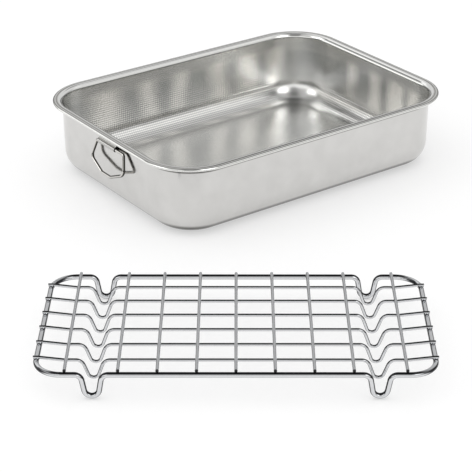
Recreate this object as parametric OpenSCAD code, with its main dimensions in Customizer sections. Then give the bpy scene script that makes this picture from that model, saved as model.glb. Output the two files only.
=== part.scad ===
// Pressed steel baking dish with a hinged bail at each end, and a loose welded wire rack.
// The dish stands on z = 0 with its base centred on the origin and its length along X.
// The rack stands on the same plane beside the dish, turned and placed as it lies at rest.

/* [Dish shell] */
// Length of the dish over its rim
rim_length = 350; // [300:1:420]
// Width of the dish over its rim
rim_width = 258; // [210:1:320]
// Height from the base to the top of the rim's round inner edge
dish_height = 75.5; // [60:0.5:100]
// Corner radius of the rim's outer edge, seen from above
rim_corner_radius = 53.5; // [45:0.5:70]
// Thickness of the pressed sheet
sheet = 0.8; // [0.6:0.1:1.2]
// Reach of the rim beyond the outside of the wall
rim_overhang = 9.5; // [9:0.1:14]
// Outside radius of the round foot of the wall
base_radius = 22; // [12:0.5:26]
// Lean of the walls from upright, in degrees
wall_lean = 0.8; // [0:0.1:3]
// Radius of the round inner edge of the rim
rim_inner_radius = 5; // [4:0.1:6]
// Outside radius of the curled outer edge of the rim
rim_curl_radius = 1.5; // [1.2:0.1:1.8]

/* [Handles] */
// Width of the folded strap that holds the bail
strap_width = 31; // [24:0.5:31]
// Thickness of the strap
strap_sheet = 0.7; // [0.5:0.1:1]
// Diameter of the bail's wire
bail_wire = 3; // [2.6:0.1:3.6]
// Running clearance round the bail's wire in the strap
bail_play = 0.1; // [0.05:0.01:0.3]
// Depth of the bail's hinge line below the top of the rim
hinge_drop = 13.5; // [12:0.5:20]
// Length of the bail's top bar between its corners
bail_top = 47; // [47:0.5:52]
// Greatest width of the bail
bail_width = 58.5; // [56:0.5:70]
// Depth of the bail's widest corners below the hinge line
bail_shoulder_drop = 19; // [16:0.5:24]
// Length of the bail's bottom bar between its corners
bail_bottom = 15; // [10:0.5:24]
// Depth of the bail's bottom bar below the hinge line
bail_drop = 28.5; // [26:0.5:36]
// Tilt at which the bail stands away from the wall, in degrees
bail_tilt = 13; // [0:1:20]
// Distance that the bail has slipped sideways in its strap
bail_slip = 6; // [0:0.1:6]

/* [Rack] */
// Diameter of the rack's frame wire
frame_wire = 4.6; // [4:0.1:5]
// Diameter of the thin lengthwise wires
long_wire = 2.7; // [1.6:0.1:2.8]
// Diameter of the cross bars
cross_wire = 2.8; // [2:0.1:3]
// Number of thin lengthwise wires
long_wire_count = 6; // [4:1:6]
// Spacing of the thin lengthwise wires
long_wire_pitch = 24; // [18:0.5:24]
// Spacing of the middle cross bars
cross_bar_pitch = 31; // [28:0.5:32]
// Distance from the last middle cross bar to the outermost one, across a foot
foot_bay = 42; // [40:0.5:44]
// Distance from the outermost cross bar to the centre line of the frame's end
end_bay = 24.5; // [24:0.5:28]
// Distance between the centre lines of the frame's long sides
frame_width = 162; // [150:1:180]
// Corner radius of the frame, on the wire's centre line
frame_corner_radius = 22; // [16:0.5:24]
// Height from the feet's lowest point to the underside of the frame's wire
foot_height = 19.2; // [16:0.5:22]
// Depth of the dips in the thin wires
long_wire_dip = 16; // [12:0.5:17]
// Depth by which crossing wires melt into each other at a weld
weld_sink = 0.15; // [0.05:0.01:0.2]

/* [Rack's place beside the dish] */
// Distance of the rack's centre beyond the left end of the dish
rack_beyond_end = 53.5; // [50:0.5:150]
// Distance of the rack's centre in front of the dish
rack_beyond_front = 166.5; // [166:0.5:260]
// Turn of the rack about the vertical, in degrees
rack_turn = -36.1; // [-90:0.1:0]

/* [Hidden] */
$fn = 48;

// A bend is a hair thicker than its straights, which run into it, so that the two join cleanly
bend_swell = 0.01;
bend_lap = 0.05;

// Rim outline, on the middle line of the sheet
// The inner edge rolls over a little, a shallow groove follows, and the lip rises to the curl.
rim_dip = 15;
rim_rise = 5;
groove_radius = 2;
groove_lead = 0.3;
curl_turn = 260;
flare_line = rim_inner_radius - sheet / 2;
curl_line = rim_curl_radius - sheet / 2;
base_line = base_radius - sheet / 2;
flare_reach = flare_line * (cos(wall_lean) + sin(rim_dip));
groove_reach = groove_radius * (sin(rim_rise) + sin(rim_dip));
curl_reach = curl_line * (1 + sin(rim_rise));
wall_half_skin = sheet / 2 * cos(wall_lean);
curl_edge = curl_reach + sheet / 2;
lead_reach = groove_lead * cos(rim_dip);
bends_reach = flare_reach + lead_reach + groove_reach + curl_edge;
lip_reach = rim_overhang + wall_half_skin - bends_reach;
lip_run = lip_reach / cos(rim_rise);
wall_top = dish_height - sheet / 2 - bend_swell - flare_line * (1 - sin(wall_lean));
wall_foot = sheet / 2 + base_line * (1 - sin(wall_lean));
wall_run = (wall_top - wall_foot) / cos(wall_lean);
wall_top_radius = rim_corner_radius - rim_overhang - wall_half_skin;
floor_run = wall_top_radius - wall_run * sin(wall_lean) - base_line * cos(wall_lean);

// Centres of the four rounded corners
corner_x = rim_length / 2 - rim_corner_radius;
corner_y = rim_width / 2 - rim_corner_radius;

// Height of the bails' hinge line above the base
hinge_height = dish_height - hinge_drop;

// Strap outline: down the wall, round the wire, and back up against itself
strap_top_gap = 0.5;
strap_joggle_radius = 1.2;
strap_leaf_gap = 0.05;
strap_close_turn = 60;
strap_top = wall_top - strap_top_gap;
knuckle_line = bail_wire / 2 + bail_play + strap_sheet / 2;
hinge_offset = strap_sheet + bail_play + bail_wire / 2;
close_drop_share = 1 - cos(strap_close_turn);
close_reach = (knuckle_line + strap_joggle_radius) * close_drop_share;
strap_leaf_pitch = strap_sheet + strap_leaf_gap;
close_run = (2 * knuckle_line - strap_leaf_pitch - close_reach) / sin(strap_close_turn);
close_arcs_climb = (knuckle_line + strap_joggle_radius) * sin(strap_close_turn);
close_climb = close_arcs_climb + close_run * cos(strap_close_turn);
strap_fall = (strap_top - hinge_height) / cos(wall_lean);

// Outside of the end wall at the height of the hinge line
skin_top = wall_top - sheet / 2 * sin(wall_lean);
end_wall_x = rim_length / 2 - rim_overhang - (skin_top - hinge_height) * tan(wall_lean);

// Bail outline, one half, from the middle of the top bar
bail_top_bend = 2.5;
bail_side_bend = 6;
bail_bottom_bend = 8;
bail_leg_turn = atan2(bail_shoulder_drop, (bail_width - bail_top) / 2);
bail_foot_turn = atan2(bail_drop - bail_shoulder_drop, (bail_width - bail_bottom) / 2);
bail_side_turn = 180 - bail_leg_turn - bail_foot_turn;
top_cut = bail_top_bend * tan(bail_leg_turn / 2);
side_cut = bail_side_bend * tan(bail_side_turn / 2);
bottom_cut = bail_bottom_bend * tan(bail_foot_turn / 2);
leg_length = norm([(bail_width - bail_top) / 2, bail_shoulder_drop]);
slope_length = norm([(bail_width - bail_bottom) / 2, bail_drop - bail_shoulder_drop]);
bail_corner = [
    ["bend", bail_top_bend, bail_leg_turn, 0],
    ["go", leg_length - top_cut - side_cut],
    ["bend", bail_side_bend, bail_side_turn, 0],
    ["go", slope_length - side_cut - bottom_cut],
    ["bend", bail_bottom_bend, bail_foot_turn, 0]
];
bail_loop = concat(
    [["go", bail_top - 2 * top_cut]],
    bail_corner,
    [["go", bail_bottom - 2 * bottom_cut]],
    backwards(bail_corner)
);

// Rack's centre on the floor
rack_x = -(rim_length / 2 + rack_beyond_end);
rack_y = -(rim_width / 2 + rack_beyond_front);

// Rack levels: the frame and the thin wires carry the cross bars at one height
frame_z = foot_height + frame_wire / 2;
bar_z = frame_z + (frame_wire + cross_wire) / 2 - weld_sink;
long_z = bar_z - (cross_wire + long_wire) / 2 + weld_sink;
long_end_z = frame_z + (frame_wire + long_wire) / 2 - weld_sink;

// Cross bars: equal bays in the middle, one wide bay over each pair of feet
middle_bar_count = 7;
bar_count = middle_bar_count + 2;
bar_overhang = 1;
bar_length = frame_width + 2 * bar_overhang;
middle_reach = (middle_bar_count - 1) / 2 * cross_bar_pitch;
outer_bar_x = middle_reach + foot_bay;
bar_x = concat(
    [-outer_bar_x],
    [for (i = [0 : middle_bar_count - 1]) i * cross_bar_pitch - middle_reach],
    [outer_bar_x]
);
frame_half = outer_bar_x + end_bay;
foot_x = (middle_reach + outer_bar_x) / 2;

// Feet: dips bent into the frame's long sides
foot_turn = 80;
foot_top_bend = 6;
foot_bottom_bend = 6;
foot_arcs_drop = (foot_top_bend + foot_bottom_bend) * (1 - cos(foot_turn));
foot_leg = (foot_height - foot_arcs_drop) / sin(foot_turn);
foot_half = (foot_top_bend + foot_bottom_bend) * sin(foot_turn) + foot_leg * cos(foot_turn);
foot = [
    ["bend", foot_top_bend, foot_turn, 0],
    ["go", foot_leg],
    ["bend", foot_bottom_bend, 2 * foot_turn, 180],
    ["go", foot_leg],
    ["bend", foot_top_bend, foot_turn, 0]
];
frame_side_half = frame_half - frame_corner_radius;
frame_corner = ["bend", frame_corner_radius, 90, 90];
frame_half_loop = concat(
    [["go", frame_side_half - foot_x - foot_half]],
    foot,
    [["go", 2 * (foot_x - foot_half)]],
    foot,
    [["go", frame_side_half - foot_x - foot_half], frame_corner],
    [["go", frame_width - 2 * frame_corner_radius], frame_corner]
);
frame_loop = concat(frame_half_loop, frame_half_loop);

// Dips of the thin wires, and the small rise that lays their ends on the frame
dip_turn = 70;
dip_top_bend = 7;
dip_bottom_bend = 4.5;
dip_arcs_drop = (dip_top_bend + dip_bottom_bend) * (1 - cos(dip_turn));
dip_leg = (long_wire_dip - dip_arcs_drop) / sin(dip_turn);
dip_half = (dip_top_bend + dip_bottom_bend) * sin(dip_turn) + dip_leg * cos(dip_turn);
rise_turn = 7;
rise_bend = 12;
rise_start_gap = 1.5;
rise_start = outer_bar_x + rise_start_gap;
rise_run = (long_end_z - long_z - 2 * rise_bend * (1 - cos(rise_turn))) / sin(rise_turn);
rise_half_arcs = 2 * rise_bend * sin(rise_turn);
rise_end = rise_start + rise_half_arcs + rise_run * cos(rise_turn);
long_half = [
    ["bend", dip_top_bend, dip_turn, 0],
    ["go", dip_leg],
    ["bend", dip_bottom_bend, 2 * dip_turn, 180],
    ["go", dip_leg],
    ["bend", dip_top_bend, dip_turn, 0],
    ["go", rise_start - foot_x - dip_half],
    ["bend", rise_bend, rise_turn, 180],
    ["go", rise_run],
    ["bend", rise_bend, rise_turn, 0],
    ["go", frame_half + frame_wire / 2 - rise_end]
];
long_path = concat(backwards(long_half), [["go", 2 * (foot_x - dip_half)]], long_half);

long_y = [for (i = [1 : long_wire_count]) (i - (long_wire_count + 1) / 2) * long_wire_pitch];

LONG_WIRES = [for (i = [1 : long_wire_count]) str("rack_long_wire_", i)];
CROSS_BARS = [for (i = [1 : bar_count]) str("rack_cross_bar_", i)];

function backwards(steps) = [for (i = [1 : len(steps)]) steps[len(steps) - i]];

// A slice of pie from the direction -Y turning left, in chords of up to 65 degrees
module slice(reach, turn) {
    chord_count = 4;
    polygon(concat(
        [[0, 0]],
        [for (i = [0 : chord_count]) reach * [sin(turn * i / chord_count), -cos(turn * i / chord_count)]]
    ));
}

// One left bend of flat sheet, starting at the origin and heading along +X
module sheet_bend(line, thick, turn) {
    half = thick / 2 + bend_swell;
    translate([0, line]) intersection() {
        difference() {
            circle(r = line + half);
            circle(r = line - half);
        }
        slice(2 * (line + half), turn);
    }
}

// Outline of a bent strip of sheet heading along +X: each step is [length], or
// [bend radius, turn to the left]. The strip's two ends stay square and unlapped.
module bent_sheet(steps, thick, i = 0) {
    if (i < len(steps)) {
        step = steps[i];
        before = i == 0 ? 0 : bend_lap;
        after = i == len(steps) - 1 ? 0 : bend_lap;
        if (len(step) == 1) {
            translate([-before, -thick / 2]) square([before + step[0] + after, thick]);
            translate([step[0], 0]) bent_sheet(steps, thick, i + 1);
        } else {
            right = step[1] < 0 ? 1 : 0;
            centre = right == 1 ? -step[0] : step[0];
            mirror([0, right]) sheet_bend(step[0], thick, abs(step[1]));
            translate([0, centre]) rotate(step[1]) translate([0, -centre])
                bent_sheet(steps, thick, i + 1);
        }
    }
}

// Bent round wire heading along +Z: each step is ["go", length] or
// ["bend", radius, turn, direction of the bend about the wire, 0 being +X].
// A closed wire starts with a straight and ends with a bend, which laps its first straight.
module bent_wire(steps, wire, closed, i = 0) {
    if (i < len(steps)) {
        step = steps[i];
        before = i == 0 && !closed ? 0 : bend_lap;
        after = i == len(steps) - 1 ? 0 : bend_lap;
        if (step[0] == "go") {
            translate([0, 0, -before]) cylinder(d = wire, h = before + step[1] + after);
            translate([0, 0, step[1]]) bent_wire(steps, wire, closed, i + 1);
        } else {
            bend = step[1];
            rotate([0, 0, step[3]]) translate([bend, 0, 0]) {
                rotate([90, 0, 180]) rotate_extrude(angle = step[2])
                    translate([bend, 0]) circle(d = wire + 2 * bend_swell);
                rotate([0, step[2], 0]) translate([-bend, 0, 0]) rotate([0, 0, -step[3]])
                    bent_wire(steps, wire, closed, i + 1);
            }
        }
    }
}

// Cross section of the shell from the floor out to the curled edge, on a corner's axis
module shell_section() {
    translate([0, sheet / 2]) bent_sheet([
        [floor_run],
        [base_line, 90 - wall_lean],
        [wall_run],
        [flare_line, wall_lean - 90 - rim_dip],
        [groove_lead],
        [groove_radius, rim_dip + rim_rise],
        [lip_run],
        [curl_line, -curl_turn]
    ], sheet);
}

module shell_side(span) {
    rotate([90, 0, 0]) linear_extrude(height = span, center = true) shell_section();
}

module dish_shell() {
    color("silver") {
        translate([-corner_x, -corner_y, 0]) cube([2 * corner_x, 2 * corner_y, sheet]);
        for (turn = [0, 180]) rotate([0, 0, turn]) {
            translate([corner_x, 0, 0]) shell_side(2 * corner_y);
            translate([0, corner_y, 0]) rotate([0, 0, 90]) shell_side(2 * corner_x);
            translate([corner_x, corner_y, 0]) rotate_extrude(angle = 90) shell_section();
            translate([-corner_x, corner_y, 0]) rotate([0, 0, 90])
                rotate_extrude(angle = 90) shell_section();
        }
    }
}

// Places its children on the right or left end wall, at the hinge height, leaning with the wall
module on_end_wall(turn) {
    rotate([0, 0, turn]) translate([end_wall_x, 0, hinge_height]) rotate([0, wall_lean, 0])
        children();
}

module handle_strap(turn) {
    color("gainsboro") on_end_wall(turn)
        rotate([90, 0, 0]) linear_extrude(height = strap_width, center = true)
            translate([strap_sheet / 2, strap_fall]) rotate(-90) bent_sheet([
                [strap_fall],
                [knuckle_line, 180 + strap_close_turn],
                [close_run],
                [strap_joggle_radius, -strap_close_turn],
                [strap_fall - close_climb]
            ], strap_sheet);
}

module handle_bail(turn) {
    color("lightgray") on_end_wall(turn)
        translate([hinge_offset, -bail_slip * cos(turn), 0]) rotate([0, -bail_tilt, 0])
            translate([0, top_cut - bail_top / 2, 0])
                rotate([-90, 0, 0]) rotate([0, 0, 90]) bent_wire(bail_loop, bail_wire, true);
}

module at_rack() {
    translate([rack_x, rack_y, 0]) rotate([0, 0, rack_turn]) children();
}

module rack_frame() {
    color("whitesmoke") at_rack()
        translate([-frame_side_half, -frame_width / 2, frame_z])
            rotate([0, 90, 0]) bent_wire(frame_loop, frame_wire, true);
}

module rack_long_wire(i) {
    color("whitesmoke") at_rack()
        translate([-frame_half - frame_wire / 2, long_y[i - 1], long_end_z])
            rotate([0, 90, 0]) bent_wire(long_path, long_wire, false);
}

module rack_cross_bar(i) {
    shank = bar_length - cross_wire;
    color("whitesmoke") at_rack()
        translate([bar_x[i - 1], 0, bar_z]) rotate([90, 0, 0]) {
            cylinder(d = cross_wire, h = shank, center = true);
            for (tip = [-1, 1]) translate([0, 0, tip * shank / 2]) sphere(d = cross_wire);
        }
}

dish_shell();
handle_strap(180);  // left_handle_strap
handle_strap(0);  // right_handle_strap
handle_bail(180);  // left_handle_bail
handle_bail(0);  // right_handle_bail
rack_frame();
for (i = [1 : long_wire_count]) rack_long_wire(i);
for (i = [1 : bar_count]) rack_cross_bar(i);
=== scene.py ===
# %% [markdown]
# # A baking dish and its wire rack
# The dish is one sheet of stainless steel, pressed into a tray with round corners and a
# curled rim. A folded strap on each end holds a bent wire bail. Beside it stands a loose
# rack of chromed wire. The solid model is loaded first, as a frame. Everything is drawn
# round it, in metres, with +Z up and the middle of the dish's base at the origin.

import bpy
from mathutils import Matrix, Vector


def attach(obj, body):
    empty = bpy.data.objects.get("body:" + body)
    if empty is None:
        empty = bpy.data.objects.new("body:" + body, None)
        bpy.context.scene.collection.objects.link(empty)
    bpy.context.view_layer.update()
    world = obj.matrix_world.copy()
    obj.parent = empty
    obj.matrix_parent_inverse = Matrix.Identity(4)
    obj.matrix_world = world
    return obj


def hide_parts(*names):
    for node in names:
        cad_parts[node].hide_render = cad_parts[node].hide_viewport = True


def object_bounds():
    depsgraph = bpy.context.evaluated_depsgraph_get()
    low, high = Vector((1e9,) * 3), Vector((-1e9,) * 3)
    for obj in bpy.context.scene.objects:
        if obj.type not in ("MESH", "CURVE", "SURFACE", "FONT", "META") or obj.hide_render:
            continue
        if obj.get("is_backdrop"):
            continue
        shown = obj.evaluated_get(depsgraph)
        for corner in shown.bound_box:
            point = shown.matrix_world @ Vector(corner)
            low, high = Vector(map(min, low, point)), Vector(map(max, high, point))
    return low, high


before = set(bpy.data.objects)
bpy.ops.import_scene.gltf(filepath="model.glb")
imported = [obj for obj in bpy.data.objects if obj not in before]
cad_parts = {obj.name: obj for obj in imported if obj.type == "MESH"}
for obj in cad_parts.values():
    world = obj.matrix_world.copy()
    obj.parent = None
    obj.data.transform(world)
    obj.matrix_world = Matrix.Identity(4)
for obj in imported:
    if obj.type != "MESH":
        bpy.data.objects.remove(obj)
solid_low, solid_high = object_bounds()
print("nodes in the frame:", len(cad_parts))

# %% [markdown]
# numpy works out the shapes and bpy puts them into Blender. Sizes are the real ones, in
# millimetres, as on a maker's drawing. One factor turns them to metres where a mesh is
# filled. Angles are in degrees.

# %% Libraries, units and angles
import math

import bpy
import numpy as np

MM = 0.001


def sin(angle):
    """Sine of an angle in degrees."""
    return math.sin(math.radians(angle))


def cos(angle):
    """Cosine of an angle in degrees."""
    return math.cos(math.radians(angle))


print("box of the solids, mm:", [round((h - l) / MM, 1) for l, h in zip(solid_low, solid_high)])

# %% [markdown]
# ## Shapes from numpy
# Sheet and wire are both bent along a line, so each piece here is a profile carried along
# a path. A path is written as a bender reads it: so far straight, then so many degrees
# round such a radius. Every point's true normal is known from the formula. It is given
# to Blender with the mesh, so a few faces shade like a perfectly smooth bend, which a
# polished metal needs.

# %% Path of a bent sheet
ARC_STEP = 6.0


def along(turn, straight_cuts=3):
    """Shares of one step from 0 to 1, without the 0: a cut every few degrees of an arc."""
    cuts = max(2, math.ceil(abs(turn) / ARC_STEP)) if turn else straight_cuts
    return np.linspace(0, 1, cuts + 1)[1:]


def sheet_line(steps):
    """Middle line of a bent strip, in a plane, from (0, 0) and heading along the first axis.

    A step (length, 0) goes straight on. A step (radius, turn) follows a circle, to the left
    where turn is positive: point = centre + radius * (sin h, -cos h) for the heading h.
    Returns the points, the headings in radians, and the distance run at each point.
    """
    points, headings, heading = [np.zeros((1, 2))], [np.zeros(1)], 0.0
    for size, turn in steps:
        share, place = along(turn), points[-1][-1]
        if turn:
            side = np.sign(turn)
            centre = place + side * size * np.array([-np.sin(heading), np.cos(heading)])
            angles = heading + np.radians(turn) * share
            arc = np.stack([np.sin(angles), -np.cos(angles)], axis=1)
            points.append(centre + side * size * arc)
        else:
            angles = np.full(len(share), heading)
            ahead = np.array([np.cos(heading), np.sin(heading)])
            points.append(place + size * share[:, None] * ahead)
        headings.append(angles)
        heading = angles[-1]
    points, headings = np.concatenate(points), np.concatenate(headings)
    gaps = np.linalg.norm(np.diff(points, axis=0), axis=1)
    return points, headings, np.concatenate([[0.0], np.cumsum(gaps)])


print("cuts in a right angle:", len(along(90)))

# %% [markdown]
# Wire bends to any side, so its path carries a frame of three axes with it. The third one
# heads along the wire. Blender's curve objects could draw a wire too. Here the path is
# worked out step by step instead, because the frame then never twists between two bends
# and the normals come out exactly.

# %% Path of a bent wire
def turns_about(axis, angles):
    """One 3 x 3 turn about the y or z axis for each angle in radians, as a stack."""
    c, s, o, i = np.cos(angles), np.sin(angles), np.zeros_like(angles), np.ones_like(angles)
    rows = {"y": [[c, o, s], [o, i, o], [-s, o, c]], "z": [[c, -s, o], [s, c, o], [o, o, i]]}
    return np.moveaxis(np.array(rows[axis]), -1, 0)


def wire_line(steps, start, heading):
    """Middle line of a bent wire: points, and at each a frame whose third axis heads along it.

    A step (length, 0, 0) goes straight. A step (radius, turn, side) bends towards the frame's
    first axis turned by side: point = centre + radius * (turned first axis).
    """
    points, frames = [np.array([start], float)], [np.array([heading], float)]
    for size, turn, side in steps:
        share, place, pose = along(turn), points[-1][-1], frames[-1][-1]
        if turn:
            sideways = turns_about("z", np.radians([side]))[0]
            back = turns_about("z", np.radians([-side]))[0]
            swept = pose @ sideways @ turns_about("y", np.radians(turn) * share)
            centre = place + size * (pose @ sideways)[:, 0]
            points.append(centre - size * swept[:, :, 0])
            frames.append(swept @ back)
        else:
            points.append(place + size * share[:, None] * pose[:, 2])
            frames.append(np.repeat(pose[None], len(share), axis=0))
    return np.concatenate(points), np.concatenate(frames)


print("each cut of an arc turns by", ARC_STEP, "degrees at most")

# %% [markdown]
# Both surfaces are grids, with rows along the path and columns round the profile. Faces
# could be joined by hand in Edit Mode. On a grid, the corners of a face are four index
# numbers, so numpy writes all the faces at once. One function puts any such grid into a
# mesh, and two more add its maps and tell the frame which solid it stands for.

# %% Faces of a grid, and the mesh that takes them
def grid_faces(rows, cols, wrap_rows=False, wrap_cols=False, flip=False):
    """Four corners of each cell of a rows x cols grid, as indices, turning from column to row."""
    r = np.arange(rows if wrap_rows else rows - 1)[:, None]
    c = np.arange(cols if wrap_cols else cols - 1)[None, :]
    r2, c2 = (r + 1) % rows, (c + 1) % cols
    corners = [r * cols + c, r * cols + c2, r2 * cols + c2, r2 * cols + c]
    faces = np.stack(np.broadcast_arrays(*corners), axis=-1).reshape(-1, 4)
    return faces[:, ::-1] if flip else faces


def fill_mesh(name, points, faces, normals, materials):
    """A new object at the origin whose mesh has these points in metres, faces and normals."""
    mesh = bpy.data.meshes.new(name)
    mesh.from_pydata(points.tolist(), [], faces)
    for material in materials:
        mesh.materials.append(material)
    mesh.shade_smooth()
    mesh.normals_split_custom_set_from_vertices(normals.tolist())
    piece = bpy.data.objects.new(name, mesh)
    bpy.context.scene.collection.objects.link(piece)
    return piece


def add_map(piece, name, values):
    """Writes one pair of numbers per face corner as a UV map, which the finishes read."""
    layer = piece.data.uv_layers.new(name=name)
    layer.data.foreach_set("uv", np.asarray(values, dtype=np.float32).ravel())


def corner_points(piece):
    """The point that each face corner of the mesh stands on."""
    index = np.empty(len(piece.data.loops), dtype=np.int32)
    piece.data.loops.foreach_get("vertex_index", index)
    return index


def finish_piece(piece, body, node):
    """The piece takes over from its solid: it rides on the same body and hides the solid."""
    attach(piece, body)
    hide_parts(node)
    print(piece.name, "faces:", len(piece.data.polygons))


print("faces of a tube with 3 rings of 8 points:", len(grid_faces(3, 8, wrap_cols=True)))

# %% [markdown]
# ## Finishes
# Colours are written as the hex values that a paint program shows. Light adds up in linear
# numbers, so one function converts them. One more function adds a shader node, with its
# settings and its links, and every finish is built from it. A metal's colour is its
# reflection, so all of them share one shader and differ in tint, roughness and bump.

# %% Colours and nodes
def linear(code):
    """Linear red, green, blue and alpha of an sRGB colour written as six hex digits."""
    parts = [int(code[i : i + 2], 16) / 255 for i in (0, 2, 4)]
    return [p / 12.92 if p <= 0.04045 else ((p + 0.055) / 1.055) ** 2.4 for p in parts] + [1.0]


def add(tree, kind, inputs=(), **settings):
    """Adds a node with its settings and links, and returns it.

    inputs are the values of its sockets, listed in their order or given by name, or by
    identifier where several sockets share a name. A value may be another node's output.
    """
    node = tree.nodes.new(kind)
    for name, value in settings.items():
        setattr(node, name, value)
    by_identifier = {socket.identifier: socket for socket in node.inputs}
    for key, value in inputs.items() if isinstance(inputs, dict) else enumerate(inputs):
        socket = by_identifier[key] if key in by_identifier else node.inputs[key]
        if isinstance(value, bpy.types.NodeSocket):
            tree.links.new(value, socket)
        else:
            socket.default_value = value
    return node


def new_finish(name):
    """A material of this name, and its node tree, still empty."""
    material = bpy.data.materials.new(name)
    material.use_nodes = True
    material.node_tree.nodes.clear()
    return material, material.node_tree


def metal(tree, tint, wear, roughness, bump, anisotropic=0.0, tangent=None):
    """The metal shader and the output. wear, from 0 to 1, picks a place in the roughness range.

    Only what varies over the piece is linked. The rest is typed in.
    """
    inputs = {"Value": wear, "To Min": roughness[0], "To Max": roughness[1]}
    rough = add(tree, "ShaderNodeMapRange", inputs).outputs["Result"]
    inputs = {"Base Color": tint, "Metallic": 1.0, "Roughness": rough, "Normal": bump}
    if tangent is not None:
        inputs.update({"Anisotropic": anisotropic, "Tangent": tangent})
    shader = add(tree, "ShaderNodeBsdfPrincipled", inputs)
    add(tree, "ShaderNodeOutputMaterial", {"Surface": shader.outputs["BSDF"]})


print("middle grey in linear numbers:", round(linear("808080")[0], 3))

# %% [markdown]
# A pattern could be painted by hand on an image. Here each one is a formula, read in space
# or from a map of the piece, so it has no pixels and no seam, and it moves with the piece.
# The helpers make a blend of two tints, a soft-edged stripe, and cloudy noise.

# %% Blends and windows
def two_tones(tree, share, dark, bright):
    """Blends two tints, each a hex code or an earlier blend, by a share from 0 to 1."""
    tints = [linear(tint) if isinstance(tint, str) else tint for tint in (dark, bright)]
    inputs = {"Factor_Float": share, "A_Color": tints[0], "B_Color": tints[1]}
    blend = add(tree, "ShaderNodeMix", inputs, data_type="RGBA")
    return next(out for out in blend.outputs if out.identifier == "Result_Color")


def window(tree, value, centre, half, soft):
    """1 where the value is within half of the centre, falling smoothly to 0 over soft."""
    away = add(tree, "ShaderNodeMath", [value, centre], operation="SUBTRACT").outputs[0]
    away = add(tree, "ShaderNodeMath", [away], operation="ABSOLUTE").outputs[0]
    inputs = {"Value": away, "From Min": half, "From Max": half + soft}
    inputs.update({"To Min": 1.0, "To Max": 0.0})
    fall = add(tree, "ShaderNodeMapRange", inputs, interpolation_type="SMOOTHSTEP")
    return fall.outputs["Result"]


print("ready: two_tones and window")


# %% Maps, clouds and stripes
def read_map(tree, name, unit=1.0):
    """The two numbers of one of the piece's maps, counted in this unit."""
    place = add(tree, "ShaderNodeUVMap", uv_map=name).outputs["UV"]
    place = add(tree, "ShaderNodeVectorMath", [place, [unit] * 3], operation="DIVIDE").outputs[0]
    parts = add(tree, "ShaderNodeSeparateXYZ", [place]).outputs
    return parts["X"], parts["Y"]


def clouds(tree, size, detail, stretch=(1.0, 1.0, 1.0)):
    """Noise from 0 to 1 with spots of this size in metres, read in space.

    detail is how many finer layers it has. A stretch under 1 draws it out along that axis.
    """
    place = add(tree, "ShaderNodeTexCoord").outputs["Object"]
    place = add(tree, "ShaderNodeMapping", {"Vector": place, "Scale": stretch}).outputs["Vector"]
    inputs = {"Vector": place, "Scale": 1 / size, "Detail": detail}
    return add(tree, "ShaderNodeTexNoise", inputs).outputs["Fac"]


def dents(tree, size, depth, stretch=(1.0, 1.0, 1.0), strength=1.0):
    """Slow unevenness of pressed sheet, as a bump of this depth in metres."""
    height = clouds(tree, size, detail=1.0, stretch=stretch)
    inputs = {"Height": height, "Distance": depth, "Strength": strength}
    return add(tree, "ShaderNodeBump", inputs).outputs["Normal"]


def striped(tree, tint, stripes):
    """Lays stripes over a tint, all the way round the dish."""
    run_out = read_map(tree, "around", MM)[1]
    for centre, half, soft, stripe_tint in stripes:
        tint = two_tones(tree, window(tree, run_out, centre, half, soft), tint, stripe_tint)
    return tint


print("ready: read_map, clouds, dents and striped")

# %% [markdown]
# The dish is ferritic stainless steel. Outside, the press and a light polish leave a fine
# upright grain, so the reflections spread sideways and the walls look evenly grey. The
# real grain is finer than a pixel. It is drawn about a millimetre apart, as coarse as it
# has to be to show. Clouds of a slightly different tint lie over it, as polish is never
# quite even. Pressed sheet is never quite flat, so a second, slow bump bends the
# reflections a little. The underside with the lower half of the foot, and a thin line
# under the rim, are tinted darker. There the photo's steel mirrors the dark underside of
# its own rim and the shade that it stands in, more than this room gives.

# %% Satin stainless steel, outside of the dish
SATIN_DARK, SATIN_BRIGHT = "C9C8C6", "D7D6D4"
SATIN_ROUGHNESS, SATIN_ANISOTROPY = (0.1, 0.15), 0.4
GRAIN_PITCH, GRAIN_RUN, GRAIN_DEPTH = 0.9 * MM, 60 * MM, 0.003 * MM
DENT_SIZE, DENT_DEPTH = 55 * MM, 0.16 * MM
CLOUD_SIZE = 18 * MM
# A stripe is its middle, half width and soft edge on the sheet's run, in mm, and its tint.
# Both stripes are painted shade: over the foot, and in a thin line under the rim.
FOOT_SHADE_STRIPE, UNDER_RIM_SHADE_STRIPE = (0, 39, 6, "5C5B57"), (104, 3.0, 1.3, "6B6A67")


def grain(tree):
    """Noise drawn out along the run of the sheet, as lines a pitch apart."""
    place = add(tree, "ShaderNodeUVMap", uv_map="around").outputs["UV"]
    inputs = {"Vector": place, "Scale": (1 / GRAIN_PITCH, 1 / GRAIN_RUN, 1.0)}
    place = add(tree, "ShaderNodeMapping", inputs).outputs["Vector"]
    inputs = {"Vector": place, "Scale": 1.0, "Detail": 3.0}
    return add(tree, "ShaderNodeTexNoise", inputs).outputs["Fac"]


def satin_stainless():
    """Upright grain over slow dents, cloudy tints and two stripes of painted shade."""
    material, tree = new_finish("satin_stainless")
    lines = grain(tree)
    inputs = {"Height": lines, "Distance": GRAIN_DEPTH, "Strength": 1.0}
    inputs["Normal"] = dents(tree, DENT_SIZE, DENT_DEPTH)
    bump = add(tree, "ShaderNodeBump", inputs).outputs["Normal"]
    tint = two_tones(tree, clouds(tree, CLOUD_SIZE, detail=2.0), SATIN_DARK, SATIN_BRIGHT)
    tint = striped(tree, tint, [FOOT_SHADE_STRIPE, UNDER_RIM_SHADE_STRIPE])
    way = add(tree, "ShaderNodeTangent", direction_type="UV_MAP", uv_map="around").outputs[0]
    metal(tree, tint, lines, SATIN_ROUGHNESS, bump, SATIN_ANISOTROPY, way)
    return material


outside_finish = satin_stainless()
print(outside_finish.name, "nodes:", len(outside_finish.node_tree.nodes))
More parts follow.
